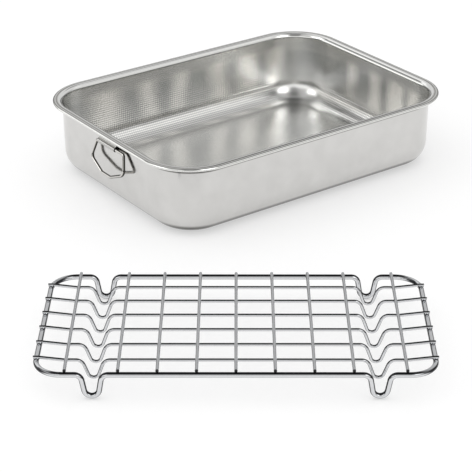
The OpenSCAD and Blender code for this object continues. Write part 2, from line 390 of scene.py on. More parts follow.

# %% [markdown]
# The rim is curled between rolls, which rub it smooth: faint clouds, almost no bump, and on
# the curl the highest shine of all. Narrow lines run along it: a painted highlight on the
# inner edge, painted shade in the groove, and painted shade and dark reflections on the
# curl. Tints draw them with no extra faces. The finish is a function, since the flange and
# the curl differ in tint and shine.

# %% Rolled rim
LINE_SOFT, RUB_DEPTH = 0.35, 0.05 * MM
# Tints of the painted shade lines, of the painted shade in the groove, and of the painted
# highlight.
PAINTED_SHADE_LINE, GROOVE_SHADE_LINE, PAINTED_HIGHLIGHT_LINE = "8A8986", "A6A5A2", "F6F6F4"


def rim_stainless(name, dark, bright, roughness, lines):
    """Cloudy, smooth sheet with painted lines of highlight and shade.

    Each line is the run where a bend starts or ends, how far on from there the line lies and
    its half width, in mm, and its tint.
    """
    material, tree = new_finish(name)
    stripes = [(bend + beside, half, LINE_SOFT, tint) for bend, beside, half, tint in lines]
    patches = clouds(tree, CLOUD_SIZE, detail=3.0)
    inputs = {"Height": patches, "Distance": RUB_DEPTH, "Strength": 1.0}
    bump = add(tree, "ShaderNodeBump", inputs).outputs["Normal"]
    tint = striped(tree, two_tones(tree, patches, dark, bright), stripes)
    metal(tree, tint, patches, roughness, bump)
    return material


# The soft edge of the painted lines of highlight and shade.
print("soft edge of a roll line, mm:", LINE_SOFT)

# %% [markdown]
# Inside, the sheet keeps its rolled finish and a fine diamond texture from the rolls. It
# could be modelled, but it would take millions of faces. It is two crossed waves instead,
# as bump and as colour. The real diamonds are too fine to show in the render. They are
# drawn 3.4 mm apart, as coarse as they need to be.

# %% Diamonds from the rolls
DIAMOND_PITCH, DIAMOND_DEPTH, DIAMOND_SHARE = 3.4 * MM, 0.04 * MM, 0.6
DIAMOND_WAVE = 2 * math.pi / (DIAMOND_PITCH * math.sqrt(2))


def crossed_waves(tree):
    """Diamonds on the flat sheet: sin(k (u + v)) * sin(k (u - v)), from -1 to 1."""
    across, up = read_map(tree, "blank")
    waves = []
    for kind in ("ADD", "SUBTRACT"):
        slant = add(tree, "ShaderNodeMath", [across, up], operation=kind).outputs[0]
        angle = add(tree, "ShaderNodeMath", [slant, DIAMOND_WAVE], operation="MULTIPLY")
        waves.append(add(tree, "ShaderNodeMath", angle.outputs[:1], operation="SINE").outputs[0])
    return add(tree, "ShaderNodeMath", waves, operation="MULTIPLY").outputs[0]


print("diamonds are", round(DIAMOND_PITCH / MM, 1), "mm apart")

# %% [markdown]
# The inner walls mirror a studio as soft upright streaks. A room with as many lamps could
# give them, but they would slide over the metal with every view. So most of each streak is
# a tint, at its own place on the way round the dish, and a slow noise makes it waver.

# %% Upright streaks
# The plain level is the tint's place between the dark and the pale tint, away from all streaks.
PLAIN_LEVEL = 0.64
# A streak is its middle on the way round the dish and its soft edge, in mm, and its level.
BRIGHT_STREAKS = {
    "far wall, right half": [(66, 16, 0.9), (103, 24, 0.9), (142, 20, 0.8)],
    "far wall, left half": [(194, 18, 0.8), (233, 20, 0.85), (287, 34, 1.0)],
    "right wall": [(919, 16, 1.0), (946, 20, 1.25), (979, 18, 1.1), (1019, 16, 0.8)],
    "left wall": [(395, 30, 0.8), (478, 40, 0.9)],
    "near wall": [(610, 35, 0.9), (700, 30, 0.8), (790, 40, 0.9)],
}
WAVER, WAVER_SIZE = 8, 40 * MM


def upright_streaks(tree, lap):
    """The strongest streak at each place of the lap, less the plain level."""
    inputs = {"Value": clouds(tree, WAVER_SIZE, detail=1.0), "To Min": -WAVER, "To Max": WAVER}
    waver = add(tree, "ShaderNodeMapRange", inputs).outputs["Result"]
    lap = add(tree, "ShaderNodeMath", [lap, waver], operation="ADD").outputs[0]
    level = 0.0
    for centre, soft, share in sum(BRIGHT_STREAKS.values(), []):
        streak = [window(tree, lap, centre, 0, soft), share]
        streak = add(tree, "ShaderNodeMath", streak, operation="MULTIPLY").outputs[0]
        level = add(tree, "ShaderNodeMath", [level, streak], operation="MAXIMUM").outputs[0]
    return add(tree, "ShaderNodeMath", [level, PLAIN_LEVEL], operation="SUBTRACT").outputs[0]


print("streaks round the dish:", sum(len(streaks) for streaks in BRIGHT_STREAKS.values()))

# %% [markdown]
# The finish puts these patterns where they belong on the run of the sheet. The diamonds'
# colour shows on the foot and the lower wall, and the streaks on the wall. The back half
# of the floor gets a painted dark reflection, and the top of the wall painted shade. Dents
# are strong on the walls, which the press draws, and weak on the flat floor.

# %% Textured stainless steel, inside of the dish
INSIDE_DARK_TINT, INSIDE_PALE_TINT, INSIDE_ROUGHNESS = "B9BAB9", "FFFDF9", (0.13, 0.19)
INNER_DENT_SIZE, INNER_DENT_DEPTH, INNER_DENT_STRETCH = 32 * MM, 1.0 * MM, (1.0, 1.0, 0.2)
# Parts of the sheet's run, in mm: the middle, the half width and the soft edge.
STREAKED, FLOOR_PART, TOP_PART = (74, 12, 16), (0, 48, 12), (104, 5, 9)
TEXTURED, DRAWN = (50, 16, 16), (76, 30, 26)
# Shares of the painted shade at the wall's top and of the painted dark reflection on the floor's
# back half, and the dents' least strength on the floor.
TOP_SHADE, BACK_DARK_REFLECTION, FLOOR_DENTS = 0.4, 0.3, 0.25
BACK_START, BACK_END = -40 * MM, 30 * MM


def textured_stainless():
    """The tint's level is the plain level plus share * pattern * place, for four patterns."""
    material, tree = new_finish("textured_stainless")
    diamonds, lines = crossed_waves(tree), grain(tree)
    lap, run_out = read_map(tree, "around", MM)
    parts = (STREAKED, FLOOR_PART, TOP_PART, TEXTURED, DRAWN)
    streaked, floor, top, textured, drawn = [window(tree, run_out, *part) for part in parts]
    place = add(tree, "ShaderNodeTexCoord").outputs["Object"]
    inputs = {"Value": add(tree, "ShaderNodeSeparateXYZ", [place]).outputs["Y"]}
    inputs.update({"From Min": BACK_START, "From Max": BACK_END})
    back = add(tree, "ShaderNodeMapRange", inputs, interpolation_type="SMOOTHSTEP")
    patterns = [
        (1.0, upright_streaks(tree, lap), streaked),
        # Painted dark reflection on the back half of the floor.
        (-BACK_DARK_REFLECTION, back.outputs["Result"], floor),
        # Painted shade at the top of the wall.
        (-TOP_SHADE, top, 1.0),
        (DIAMOND_SHARE, diamonds, textured),
    ]
    level = PLAIN_LEVEL
    for share, pattern, place in patterns:
        seen = add(tree, "ShaderNodeMath", [pattern, place], operation="MULTIPLY").outputs[0]
        seen = [seen, share, level]
        level = add(tree, "ShaderNodeMath", seen, operation="MULTIPLY_ADD").outputs[0]
    inputs = {"Value": drawn, "To Min": FLOOR_DENTS, "To Max": 1.0}
    strength = add(tree, "ShaderNodeMapRange", inputs).outputs["Result"]
    inputs = {"Height": diamonds, "Distance": DIAMOND_DEPTH, "Strength": 1.0}
    size, depth, stretch = INNER_DENT_SIZE, INNER_DENT_DEPTH, INNER_DENT_STRETCH
    inputs["Normal"] = dents(tree, size, depth, stretch, strength)
    bump = add(tree, "ShaderNodeBump", inputs).outputs["Normal"]
    metal(tree, two_tones(tree, level, INSIDE_DARK_TINT, INSIDE_PALE_TINT), lines, INSIDE_ROUGHNESS, bump)
    return material


inside_finish = textured_stainless()
print(inside_finish.name, "nodes:", len(inside_finish.node_tree.nodes))

# %% [markdown]
# The bails are bright drawn steel wire and the rack is chrome plate over drawn wire. Both
# are nearly mirrors. Drawing leaves faint marks and plating a slight ripple, which keeps a
# highlight from looking like glass. Two sides of a wire are painted darker, a painted dark
# reflection of a dark room, which gives the eye the same contrast from every view. The
# wear is a guess that gives the eye the same contrast from every view. The cross bars are
# a shade darker than the frame. The straps are plain rolled strip, duller than wire.
# Sheared ends are bare, rough and almost black, and on the near ends of the cross bars
# that black is a painted dark reflection.

# %% Drawn wire, strap and chrome plate
DARK_SIDE_HALF, DARK_SIDE_SOFT = 0.25, 0.25
RIPPLE_SIZE = 3 * MM
# Tints, least and greatest roughness, depth of the ripples, and the tint of the sides painted dark
# as a painted dark reflection.
WIRE_FINISHES = {
    "drawn_steel_wire": ("C2C0BC", "D4D2CE", (0.05, 0.1), 0.004 * MM, "4C4B47"),
    "rolled_steel_strap": ("BDBCB9", "CBCAC7", (0.16, 0.26), 0.006 * MM, None),
    "chrome_plate": ("D2D3D5", "DCDDDF", (0.015, 0.035), 0.0012 * MM, "2E2F31"),
    "chrome_plate_bars": ("C0C1C3", "CCCDCF", (0.015, 0.035), 0.0012 * MM, None),
    # Its almost black tint is also the painted dark reflection on the near ends of the cross bars.
    "sheared_end_and_dark_reflection": ("2A2A2B", "3C3C3D", (0.3, 0.45), 0.01 * MM, None),
}


def wire_finish(name, dark, bright, roughness, ripple, gripped):
    """A metal with slow ripples and small changes of polish, both read in space."""
    material, tree = new_finish(name)
    noise = clouds(tree, RIPPLE_SIZE, detail=2.0)
    inputs = {"Height": noise, "Distance": ripple, "Strength": 1.0}
    bump = add(tree, "ShaderNodeBump", inputs).outputs["Normal"]
    tint = two_tones(tree, noise, dark, bright)
    if gripped:
        # The two sides tinted dark are a painted dark reflection.
        pressed = window(tree, read_map(tree, "gripped")[0], 1, DARK_SIDE_HALF, DARK_SIDE_SOFT)
        tint = two_tones(tree, pressed, tint, gripped)
    metal(tree, tint, noise, roughness, bump)
    return material


finishes = [wire_finish(name, *values) for name, values in WIRE_FINISHES.items()]
bail_finish, strap_finish, chrome_finish, bar_finish, cut_and_dark_reflection_finish = finishes
print("finishes:", len(bpy.data.materials))

# %% [markdown]
# ## The dish
# A press draws the sheet over a block, so the section is the same all the way round: flat
# floor, round foot, straight wall, round inner edge, shallow groove, and a curl that hides
# the cut edge. Blender could bevel a box and give it a thickness. The section is drawn as
# one bent line instead, and carried round the outline, so each bend has its real radius.

# %% Sizes and section of the sheet
RIM_LENGTH, RIM_WIDTH, DISH_HEIGHT = 350.0, 258.0, 75.5
RIM_CORNER_RADIUS, RIM_OVERHANG = 53.5, 9.5
SHEET, BASE_RADIUS, WALL_LEAN = 0.8, 22.0, 0.8
RIM_INNER_RADIUS, RIM_CURL_RADIUS = 5.0, 1.5
RIM_DIP, RIM_RISE, GROOVE_RADIUS, GROOVE_LEAD, CURL_TURN = 15.0, 5.0, 2.0, 0.3, 260.0
# The solid's bends are a hair thicker than its straights, so its wall ends lower by that.
BEND_SWELL = 0.01
# The section starts a little way out from the corner's axis, and one flat face closes the rest.
FLOOR_START = 6.0

half_sheet = SHEET / 2
base_line, flare_line = BASE_RADIUS - half_sheet, RIM_INNER_RADIUS - half_sheet
curl_line = RIM_CURL_RADIUS - half_sheet
wall_top = DISH_HEIGHT - half_sheet - BEND_SWELL - flare_line * (1 - sin(WALL_LEAN))
wall_foot = half_sheet + base_line * (1 - sin(WALL_LEAN))
wall_run = (wall_top - wall_foot) / cos(WALL_LEAN)
bends_reach = (
    flare_line * (cos(WALL_LEAN) + sin(RIM_DIP))
    + GROOVE_LEAD * cos(RIM_DIP)
    + GROOVE_RADIUS * (sin(RIM_RISE) + sin(RIM_DIP))
    + curl_line * (1 + sin(RIM_RISE))
    + half_sheet
)
lip_run = (RIM_OVERHANG + half_sheet * cos(WALL_LEAN) - bends_reach) / cos(RIM_RISE)
wall_top_radius = RIM_CORNER_RADIUS - RIM_OVERHANG - half_sheet * cos(WALL_LEAN)
floor_run = wall_top_radius - wall_run * sin(WALL_LEAN) - base_line * cos(WALL_LEAN)
wall_steps = [(floor_run - FLOOR_START, 0), (base_line, 90 - WALL_LEAN), (wall_run, 0)]
# The inner edge, the way into the groove, the groove, the lip and the curl.
rim_steps = [
    (flare_line, WALL_LEAN - 90 - RIM_DIP),
    (GROOVE_LEAD, 0),
    (GROOVE_RADIUS, RIM_DIP + RIM_RISE),
    (lip_run, 0),
    (curl_line, -CURL_TURN),
]
section, section_heading, section_run = sheet_line(wall_steps + rim_steps)
section += [FLOOR_START, half_sheet]
# The rim and the curl begin at these points of the section.
rim_first = len(section) - 1 - sum(len(along(turn)) for _, turn in rim_steps)
curl_first = len(section) - 1 - len(along(CURL_TURN))
print("points in the section:", len(section), "wall top at", round(wall_top, 2), "mm")
print("sheet's run from the middle of the corners, mm:", round(section_run[-1] + FLOOR_START, 1))

# %% [markdown]
# The outline is a rectangle with round corners. Blender could bevel its corners after the
# sheet is made, but the foot and the curl would then need bevels of their own. Here each
# corner keeps one axis while the direction turns round it, so every line of the section
# goes round that axis, as it does on the press.

# %% Outline of the dish
CORNER_CUTS, SIDE_CUTS = 24, 8


def round_outline(half_x, half_y, cuts, side_cuts):
    """Corner axis and outward direction at each step round a rectangle with round corners.

    A corner keeps its axis while the direction turns through 90 degrees, and a side keeps
    its direction while the axis slides to the next corner.
    """
    signs = np.array([[1, 1], [-1, 1], [-1, -1], [1, -1]]) * [half_x, half_y]
    axes, ways = [], []
    for i, axis in enumerate(signs):
        turn = np.radians(90 * i) + np.linspace(0, math.pi / 2, cuts + 1)
        ways.append(np.stack([np.cos(turn), np.sin(turn)], axis=1))
        axes.append(np.repeat(axis[None], cuts + 1, axis=0))
        share = np.linspace(0, 1, side_cuts + 1)[1:-1, None]
        axes.append(axis + share * (signs[(i + 1) % 4] - axis))
        ways.append(np.repeat(ways[-1][-1:], side_cuts - 1, axis=0))
    return np.concatenate(axes), np.concatenate(ways)


corner_x = RIM_LENGTH / 2 - RIM_CORNER_RADIUS
corner_y = RIM_WIDTH / 2 - RIM_CORNER_RADIUS
outline_axis, outline_way = round_outline(corner_x, corner_y, CORNER_CUTS, SIDE_CUTS)
print("steps round the dish:", len(outline_axis))

# %% [markdown]
# The surface has two skins, half a sheet to either side of the middle line. The curl, the
# flange, the inside and the outside differ in finish, so each face takes its material from
# its column. The rim's painted lines of highlight and shade are placed from its bends.

# %% The rim's two finishes
curl_start, curl_end = section_run[[curl_first, -1]] + FLOOR_START
flare_end = section_run[rim_first] + FLOOR_START
flare_end += flare_line * math.radians(90 - WALL_LEAN + RIM_DIP)
# A painted highlight on the inner edge and painted shade in the groove, then painted shade at both
# ends of the curl.
flange_painted_lines = [(flare_end, -3.2, 1.8, PAINTED_HIGHLIGHT_LINE), (flare_end, 0.3, 0.5, GROOVE_SHADE_LINE)]
curl_painted_lines = [(curl_start, 0.2, 0.3, PAINTED_SHADE_LINE), (curl_end, -1.0, 1.1, PAINTED_SHADE_LINE)]
RIM_FINISHES = {
    "rolled_rim_stainless": ("D0D0CD", "DADAD7", (0.1, 0.16), flange_painted_lines),
    "burnished_curl_stainless": ("E0E0DD", "EAEAE7", (0.03, 0.06), curl_painted_lines),
}
finishes = [rim_stainless(name, *values) for name, values in RIM_FINISHES.items()]
flange_finish, curl_finish = finishes
print("curl from", round(curl_start, 1), "to", round(curl_end, 1), "mm of run")


# %% The shell's surface
OUTSIDE, INSIDE, FLANGE, CURL = range(4)


def pressed_shell():
    """Both skins of the shell, as one closed section carried round the outline.

    For each step of the outline and each point of the section:
    point = (corner axis + reach * outward direction, height).
    """
    left = np.stack([-np.sin(section_heading), np.cos(section_heading)], axis=1)
    skin = np.concatenate([section - half_sheet * left, (section + half_sheet * left)[::-1]])
    skin_normal = np.concatenate([-left, left[::-1]])
    reach, height = skin[None, :, :1], skin[:, 1]
    flat = outline_axis[:, None] + reach * outline_way[:, None]
    tall = np.broadcast_to(height[None, :, None], flat.shape[:2] + (1,))
    points = np.concatenate([flat, tall], axis=2)
    flat_normal = skin_normal[None, :, :1] * outline_way[:, None]
    tall_normal = np.broadcast_to(skin_normal[None, :, 1:], tall.shape)
    normals = np.concatenate([flat_normal, tall_normal], axis=2)
    rows, cols = points.shape[:2]
    sides = grid_faces(rows, cols, wrap_rows=True, flip=True)
    base = [list(range(0, rows * cols, cols))[::-1], list(range(cols - 1, rows * cols, cols))]
    faces = sides.tolist() + base
    shell = fill_mesh(
        "dish",
        points.reshape(-1, 3) * MM,
        faces,
        normals.reshape(-1, 3),
        [outside_finish, inside_finish, flange_finish, curl_finish],
    )
    half, col = len(section), (sides % cols).min(axis=1)
    from_floor = np.where(col < half, col, 2 * half - 2 - col)
    slot = np.where(col < half, OUTSIDE, INSIDE)
    slot = np.where(from_floor >= rim_first, FLANGE, slot)
    slot = np.where(from_floor >= curl_first, CURL, slot)
    slot = np.concatenate([slot, [OUTSIDE, INSIDE]])
    shell.data.polygons.foreach_set("material_index", slot.astype(np.int32))
    return shell, rows, cols


dish, outline_steps, skin_points = pressed_shell()
finish_piece(dish, "dish", "dish_shell")

# %% [markdown]
# Two maps tell the finishes where they are. "blank" gives the place that a point had on
# the flat sheet before the press: the distance run along the section, laid out flat. A
# rolled texture follows it with no seam. "around" gives the distance round the dish and
# the distance up the wall, for grain that runs upright everywhere.

# %% Maps of the shell
run = np.concatenate([section_run, section_run[::-1]]) + FLOOR_START
blank = outline_axis[:, None] + run[None, :, None] * outline_way[:, None]
skin_radius = RIM_CORNER_RADIUS - RIM_OVERHANG
lap = outline_axis + skin_radius * outline_way
lap_gaps = np.linalg.norm(np.diff(np.vstack([lap, lap[:1]]), axis=0), axis=1)
lap_run = np.concatenate([[0.0], np.cumsum(lap_gaps)])

owner = corner_points(dish)
row, col = owner // skin_points, owner % skin_points
add_map(dish, "blank", blank.reshape(-1, 2)[owner] * MM)
quads = outline_steps * (skin_points - 1) * 4
# The last strip of faces ends where the lap began. There the map gives the full way round
# the dish and not 0, or the grain would run backwards across that strip.
last_lap = np.zeros(len(owner), dtype=bool)
quad_rows = row[:quads].reshape(-1, 4)
crosses = quad_rows.max(axis=1) - quad_rows.min(axis=1) > 1
last_lap[:quads] = ((quad_rows == 0) & crosses[:, None]).ravel()
lap_at = np.where(last_lap, lap_run[-1], lap_run[row])
add_map(dish, "around", np.stack([lap_at, run[col]], axis=1) * MM)
print("way round the dish:", round(lap_run[-1]), "mm")

# %% [markdown]
# ## The handles
# The strap is a flat strip that runs down the end wall, turns round the wire and comes
# back up against itself. A bent plane with a Solidify modifier would be close. Here its
# section, a rectangle with slightly round edges, is carried along the bent line. Its two
# sheared sides take the finish of a sheared end, and outline it with a thin dark line.

# %% Sizes and places of the handles
STRAP_WIDTH, STRAP_SHEET, STRAP_EDGE = 31.0, 0.7, 0.2
STRAP_TOP_GAP, STRAP_LEAF_GAP, STRAP_JOGGLE, STRAP_CLOSE_TURN = 0.5, 0.05, 1.2, 60.0
BAIL_WIRE, BAIL_PLAY, HINGE_DROP = 3.0, 0.1, 13.5
BAIL_TOP, BAIL_WIDTH, BAIL_BOTTOM = 47.0, 58.5, 15.0
BAIL_SHOULDER_DROP, BAIL_DROP, BAIL_TILT, BAIL_SLIP = 19.0, 28.5, 13.0, 6.0
BAIL_TOP_BEND, BAIL_SIDE_BEND, BAIL_BOTTOM_BEND = 2.5, 6.0, 8.0
# A face is a cut side of the strip where its normal points sideways by more than this share.
CUT_SIDE_SHARE = 0.4
STRIP_CORNER_CUTS, STRIP_SIDE_CUTS = 3, 4

hinge_height = DISH_HEIGHT - HINGE_DROP
knuckle_line = BAIL_WIRE / 2 + BAIL_PLAY + STRAP_SHEET / 2
hinge_offset = STRAP_SHEET + BAIL_PLAY + BAIL_WIRE / 2
close_reach = (knuckle_line + STRAP_JOGGLE) * (1 - cos(STRAP_CLOSE_TURN))
leaf_pitch = STRAP_SHEET + STRAP_LEAF_GAP
close_run = (2 * knuckle_line - leaf_pitch - close_reach) / sin(STRAP_CLOSE_TURN)
close_climb = (knuckle_line + STRAP_JOGGLE) * sin(STRAP_CLOSE_TURN)
close_climb += close_run * cos(STRAP_CLOSE_TURN)
strap_fall = (wall_top - STRAP_TOP_GAP - hinge_height) / cos(WALL_LEAN)
skin_top = wall_top - half_sheet * sin(WALL_LEAN)
lean_slope = math.tan(math.radians(WALL_LEAN))
end_wall_x = RIM_LENGTH / 2 - RIM_OVERHANG - (skin_top - hinge_height) * lean_slope
print("the hinge is", hinge_height, "mm above the table")


# %% Straps
def on_end_wall(vectors, side, is_place=True):
    """Turns (off the wall, along the wall, up the wall) to the dish's own axes.

    side is 1 for the right end and -1 for the left, where everything is turned half round.
    """
    off, sideways, up = np.moveaxis(np.asarray(vectors, float), -1, 0)
    x = off * cos(WALL_LEAN) + up * sin(WALL_LEAN)
    z = up * cos(WALL_LEAN) - off * sin(WALL_LEAN)
    if is_place:
        x, z = x + end_wall_x, z + hinge_height
    return np.stack([side * x, side * sideways, z], axis=-1)


strap_steps = [
    (strap_fall, 0),
    (knuckle_line, 180 + STRAP_CLOSE_TURN),
    (close_run, 0),
    (STRAP_JOGGLE, -STRAP_CLOSE_TURN),
    (strap_fall - close_climb, 0),
]


def strap(side, name):
    """A rounded strip carried down the wall, round the wire and back up.

    point = line + across * along the wall + through * the line's own normal.
    """
    line, heading = sheet_line(strap_steps)[:2]
    # The line heads down at first, so its first axis is "down" and its second "off the wall".
    off, up = line[:, 1] + STRAP_SHEET / 2, strap_fall - line[:, 0]
    through_off, through_up = np.cos(heading)[:, None], np.sin(heading)[:, None]
    half_x, half_y = STRAP_WIDTH / 2 - STRAP_EDGE, STRAP_SHEET / 2 - STRAP_EDGE
    axes, way = round_outline(half_x, half_y, STRIP_CORNER_CUTS, STRIP_SIDE_CUTS)
    edge = axes + STRAP_EDGE * way
    off, up = off[:, None] + through_off * edge[:, 1], up[:, None] + through_up * edge[:, 1]
    points = [off, edge[:, 0], up]
    normals = [through_off * way[:, 1], way[:, 0], through_up * way[:, 1]]
    points = np.stack(np.broadcast_arrays(*points), axis=-1)
    normals = np.stack(np.broadcast_arrays(*normals), axis=-1)
    rows, cols = points.shape[:2]
    sides = grid_faces(rows, cols, wrap_cols=True)
    faces = sides.tolist() + [list(range(cols))[::-1], list(range((rows - 1) * cols, rows * cols))]
    points = on_end_wall(points, side).reshape(-1, 3) * MM
    normals = on_end_wall(normals, side, False).reshape(-1, 3)
    piece = fill_mesh(name, points, faces, normals, [strap_finish, cut_and_dark_reflection_finish])
    cut_side = (np.abs(way[sides % cols, 0]) > CUT_SIDE_SHARE).all(axis=1)
    slot = np.concatenate([cut_side, [True, True]]).astype(np.int32)
    piece.data.polygons.foreach_set("material_index", slot)
    return piece


print("flat length of a strap, mm:", round(sheet_line(strap_steps)[2][-1], 1))

# %% [markdown]
# Round wire is a circle carried along a line. The bail is one closed wire bent into a
# six-sided ring, and the ends of open wires are finished with a small round edge or, on
# the cross bars, a full ball. A map named "gripped" tells the finish how near
# each point is to the two sides that carry a painted dark reflection: 1 on them and 0 halfway
# between.

# %% Wires
ROUND_CUTS, END_CUTS = 24, 4
# The last ring of a ball end keeps this share of the radius, so that no faces collapse.
TIP_SHARE = 0.02


def wire_piece(name, line, frames, radius, finish, end_round=None, level=None):
    """Round wire: point = line + radius * (cos a * first axis + sin a * second axis).

    end_round is the radius of the edge at both ends, or None where the wire closes on itself.
    level is 1 at the points where the wire bends sideways, and 0 where it bends up or down.
    It picks the two sides that the map of painted dark sides marks.
    """
    angles = np.linspace(0, 2 * math.pi, ROUND_CUTS, endpoint=False)
    circle = np.stack([np.cos(angles), np.sin(angles)], axis=1)
    if end_round is None:
        line, frames = line[:-1], frames[:-1]
        reach, tilt = np.full(len(line), radius), np.zeros(len(line))
    else:
        turn = np.radians(90 - 90 * np.arange(END_CUTS) / END_CUTS)
        small = radius - end_round * (1 - np.cos(turn))
        small[0] = max(small[0], TIP_SHARE * radius)
        shift = end_round * (1 - np.sin(turn))
        start = line[0] + shift[:, None] * frames[0][:, 2]
        stop = (line[-1] - shift[:, None] * frames[-1][:, 2])[::-1]
        inner = line[1:-1]
        line = np.concatenate(
            [start, [line[0] + end_round * frames[0][:, 2]], inner]
            + [[line[-1] - end_round * frames[-1][:, 2]], stop]
        )
        count = len(turn) + 1
        frames = np.concatenate(
            [np.repeat(frames[:1], count, 0), frames[1:-1], np.repeat(frames[-1:], count, 0)]
        )
        body = np.full(len(inner) + 2, radius)
        reach = np.concatenate([small, body, small[::-1]])
        tilt = np.concatenate([-turn, np.zeros(len(body)), turn[::-1]])
    out = np.einsum("nij,kj->nki", frames[:, :, :2], circle)
    points = line[:, None] + reach[:, None, None] * out
    tilt = tilt[:, None, None]
    normals = np.cos(tilt) * out + np.sin(tilt) * frames[:, None, :, 2]
    rows, cols = points.shape[:2]
    faces = grid_faces(rows, cols, wrap_rows=end_round is None, wrap_cols=True).tolist()
    if end_round is not None:
        faces += [list(range(cols))[::-1], list(range((rows - 1) * cols, rows * cols))]
    piece = fill_mesh(name, points.reshape(-1, 3) * MM, faces, normals.reshape(-1, 3), [finish])
    level = np.zeros(rows) if level is None else level[:rows]
    # How near each point is to the two sides of painted dark reflection.
    gripped = np.outer(1 - level, np.abs(circle[:, 0])) + np.outer(level, np.abs(circle[:, 1]))
    gripped = gripped.ravel()[corner_points(piece)]
    add_map(piece, "gripped", np.stack([gripped, np.zeros_like(gripped)], axis=1))
    return piece


print("sides of a round wire:", ROUND_CUTS)

# %% [markdown]
# The bail's corners are bends too, so the straight between two of them is shorter than
# the side of the ring. It could be drawn as a curve with sharp corners and rounded after,
# but the corners would then not keep the bender's radii. The ring hangs a little to one
# side in its strap and leans off the wall, as it does in the photo.

# %% Bails
leg_turn = math.degrees(math.atan2(BAIL_SHOULDER_DROP, (BAIL_WIDTH - BAIL_TOP) / 2))
foot_turn = math.degrees(
    math.atan2(BAIL_DROP - BAIL_SHOULDER_DROP, (BAIL_WIDTH - BAIL_BOTTOM) / 2)
)
side_turn = 180 - leg_turn - foot_turn


def cut(radius, turn):
    """Length that a round corner takes from each of the two straights beside it."""
    return radius * math.tan(math.radians(turn / 2))


top_cut, side_cut = cut(BAIL_TOP_BEND, leg_turn), cut(BAIL_SIDE_BEND, side_turn)
bottom_cut = cut(BAIL_BOTTOM_BEND, foot_turn)
leg = math.hypot((BAIL_WIDTH - BAIL_TOP) / 2, BAIL_SHOULDER_DROP)
slope = math.hypot((BAIL_WIDTH - BAIL_BOTTOM) / 2, BAIL_DROP - BAIL_SHOULDER_DROP)
bail_side = [
    (BAIL_TOP_BEND, leg_turn, 0),
    (leg - top_cut - side_cut, 0, 0),
    (BAIL_SIDE_BEND, side_turn, 0),
    (slope - side_cut - bottom_cut, 0, 0),
    (BAIL_BOTTOM_BEND, foot_turn, 0),
]
bail_ring = [(BAIL_TOP - 2 * top_cut, 0, 0)] + bail_side
bail_ring += [(BAIL_BOTTOM - 2 * bottom_cut, 0, 0)] + bail_side[::-1]


def bail(side, name):
    """The ring hangs from its top bar, tilted off the wall about that bar."""
    down = np.array([sin(BAIL_TILT), 0.0, -cos(BAIL_TILT)])
    sideways = np.array([0.0, 1.0, 0.0])
    heading = np.stack([down, np.cross(sideways, down), sideways], axis=1)
    start = [hinge_offset, top_cut - BAIL_TOP / 2 - side * BAIL_SLIP, 0.0]
    line, frames = wire_line(bail_ring, start, heading)
    line = on_end_wall(line, side)
    frames = np.moveaxis(on_end_wall(np.moveaxis(frames, -1, -2), side, False), -2, -1)
    return wire_piece(name, line, frames, BAIL_WIRE / 2, bail_finish)


for side, name in ((1, "right"), (-1, "left")):
    finish_piece(strap(side, name + "_strap"), "dish", name + "_handle_strap")
    ring = bail(side, name + "_bail")
    finish_piece(ring, name + "_bail", name + "_handle_bail")

# %% [markdown]
# ## The rack
# A thick wire bent into a closed frame carries everything. Its two long sides dip down
# at four places, and those dips are the feet. Thin wires run lengthwise and dip at the
# same places, and the cross bars lie on top. All the wires are welded where they cross.
# An Array modifier could repeat them. A loop makes each wire a piece of its own instead,
# because the real ones are cut one by one and each stands for its own solid.

# %% Sizes and levels of the rack
FRAME_WIRE, LONG_WIRE, CROSS_WIRE, WELD_SINK = 4.6, 2.7, 2.8, 0.15
LONG_WIRE_COUNT, LONG_WIRE_PITCH, LONG_WIRE_EDGE = 6, 24.0, 0.3
MIDDLE_BARS, CROSS_BAR_PITCH, FOOT_BAY, END_BAY, BAR_OVERHANG = 7, 31.0, 42.0, 24.5, 1.0
FRAME_WIDTH, FRAME_CORNER_RADIUS, FOOT_HEIGHT = 162.0, 22.0, 19.2
FOOT_TURN, FOOT_TOP_BEND, FOOT_BOTTOM_BEND = 80.0, 6.0, 6.0
DIP_DEPTH, DIP_TURN, DIP_TOP_BEND, DIP_BOTTOM_BEND = 16.0, 70.0, 7.0, 4.5
RISE_TURN, RISE_BEND, RISE_GAP = 7.0, 12.0, 1.5
RACK_BEYOND_END, RACK_BEYOND_FRONT, RACK_TURN = 53.5, 166.5, -36.1
# Rings of faces at the near end of each cross bar, tinted almost black as a painted dark
# reflection. The far ends keep the plated tint.
DARK_RINGS = 4

frame_z = FOOT_HEIGHT + FRAME_WIRE / 2
bar_z = frame_z + (FRAME_WIRE + CROSS_WIRE) / 2 - WELD_SINK
long_z = bar_z - (CROSS_WIRE + LONG_WIRE) / 2 + WELD_SINK
long_end_z = frame_z + (FRAME_WIRE + LONG_WIRE) / 2 - WELD_SINK
middle_reach = (MIDDLE_BARS - 1) / 2 * CROSS_BAR_PITCH
outer_bar_x = middle_reach + FOOT_BAY
bar_x = [-outer_bar_x, *np.linspace(-middle_reach, middle_reach, MIDDLE_BARS), outer_bar_x]
frame_half, foot_x = outer_bar_x + END_BAY, (middle_reach + outer_bar_x) / 2
rack_x = -(RIM_LENGTH / 2 + RACK_BEYOND_END)
rack_y = -(RIM_WIDTH / 2 + RACK_BEYOND_FRONT)
rack_pose = turns_about("z", np.radians([RACK_TURN]))[0]
# The columns are the wire's two sideways axes and its heading, for a wire along the rack.
along_rack = np.array([[0.0, 0.0, 1.0], [0.0, 1.0, 0.0], [-1.0, 0.0, 0.0]])


